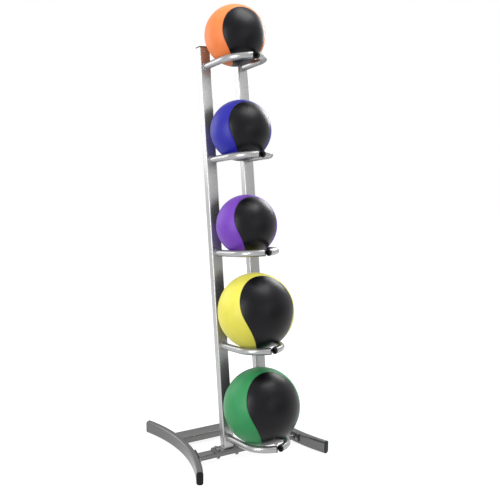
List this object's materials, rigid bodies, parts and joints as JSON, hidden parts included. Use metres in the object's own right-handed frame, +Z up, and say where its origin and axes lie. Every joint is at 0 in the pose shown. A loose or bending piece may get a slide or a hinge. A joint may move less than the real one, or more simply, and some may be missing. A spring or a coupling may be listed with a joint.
{
  "type": "medicine ball rack",
  "caption": "Leaning two-post medicine ball rack: bent tube arms cradle two-tone rubber balls above bowed feet joined by crossbars.",
  "frame": {"origin": "middle of the floor rectangle that the rack and its balls cover, on the floor", "axes": "+Z up, -Y the front where the balls are, +X to the rack's right as seen from the front"},
  "size_m": [0.5562, 0.61, 1.6723],
  "materials": {
    "silver_paint": "satin metallic silver",
    "plated_steel": "zinc-plated",
    "black_plastic": "satin moulded",
    "black_rubber": "fine pebbled",
    "orange_rubber": "fine pebbled",
    "blue_rubber": "fine pebbled",
    "purple_rubber": "fine pebbled",
    "yellow_rubber": "fine pebbled",
    "green_rubber": "fine pebbled"
  },
  "bodies": {
    "frame": {"arm_1_left": "silver_paint", "arm_1_right": "silver_paint", "arm_2_left": "silver_paint", "arm_2_right": "silver_paint", "arm_3_left": "silver_paint", "arm_3_right": "silver_paint", "arm_4_left": "silver_paint", "arm_4_right": "silver_paint", "arm_5_left": "silver_paint", "arm_5_right": "silver_paint", "arm_plug_1_left": "black_plastic", "arm_plug_1_right": "black_plastic", "arm_plug_2_left": "black_plastic", "arm_plug_2_right": "black_plastic", "arm_plug_3_left": "black_plastic", "arm_plug_3_right": "black_plastic", "arm_plug_4_left": "black_plastic", "arm_plug_4_right": "black_plastic", "arm_plug_5_left": "black_plastic", "arm_plug_5_right": "black_plastic", "base_plate_left": "silver_paint", "base_plate_right": "silver_paint", "cap_screw_left": "plated_steel", "cap_screw_right": "plated_steel", "crossbar_flange_left": "silver_paint", "crossbar_flange_right": "silver_paint", "flange_bolt_left_1": "plated_steel", "flange_bolt_left_2": "plated_steel", "flange_bolt_right_1": "plated_steel", "flange_bolt_right_2": "plated_steel", "foot_cap_left_back": "black_plastic", "foot_cap_left_front": "black_plastic", "foot_cap_right_back": "black_plastic", "foot_cap_right_front": "black_plastic", "foot_left": "silver_paint", "foot_right": "silver_paint", "front_crossbar": "silver_paint", "plate_bolt_left_1": "plated_steel", "plate_bolt_left_2": "plated_steel", "plate_bolt_left_3": "plated_steel", "plate_bolt_left_4": "plated_steel", "plate_bolt_right_1": "plated_steel", "plate_bolt_right_2": "plated_steel", "plate_bolt_right_3": "plated_steel", "plate_bolt_right_4": "plated_steel", "rear_crossbar": "silver_paint", "top_cap_left": "black_plastic", "top_cap_right": "black_plastic", "upright_left": "silver_paint", "upright_right": "silver_paint"},
    "ball_1": {"ball_1_black_panel": "black_rubber", "ball_1_color_panel": "orange_rubber"},
    "ball_2": {"ball_2_black_panel": "black_rubber", "ball_2_color_panel": "blue_rubber"},
    "ball_3": {"ball_3_black_panel": "black_rubber", "ball_3_color_panel": "purple_rubber"},
    "ball_4": {"ball_4_black_panel": "black_rubber", "ball_4_color_panel": "yellow_rubber"},
    "ball_5": {"ball_5_black_panel": "black_rubber", "ball_5_color_panel": "green_rubber"}
  },
  "joints": [
    {"name": "ball_1_lift_out", "type": "slide", "parent": "frame", "child": "ball_1", "axis": [0, -0.8572, 0.515], "range_m": [0, 0.34]},
    {"name": "ball_2_lift_out", "type": "slide", "parent": "frame", "child": "ball_2", "axis": [0, -0.8572, 0.515], "range_m": [0, 0.34]},
    {"name": "ball_3_lift_out", "type": "slide", "parent": "frame", "child": "ball_3", "axis": [0, -0.8572, 0.515], "range_m": [0, 0.34]},
    {"name": "ball_4_lift_out", "type": "slide", "parent": "frame", "child": "ball_4", "axis": [0, -0.8572, 0.515], "range_m": [0, 0.34]},
    {"name": "ball_5_lift_out", "type": "slide", "parent": "frame", "child": "ball_5", "axis": [0, -0.8572, 0.515], "range_m": [0, 0.34]}
  ]
}
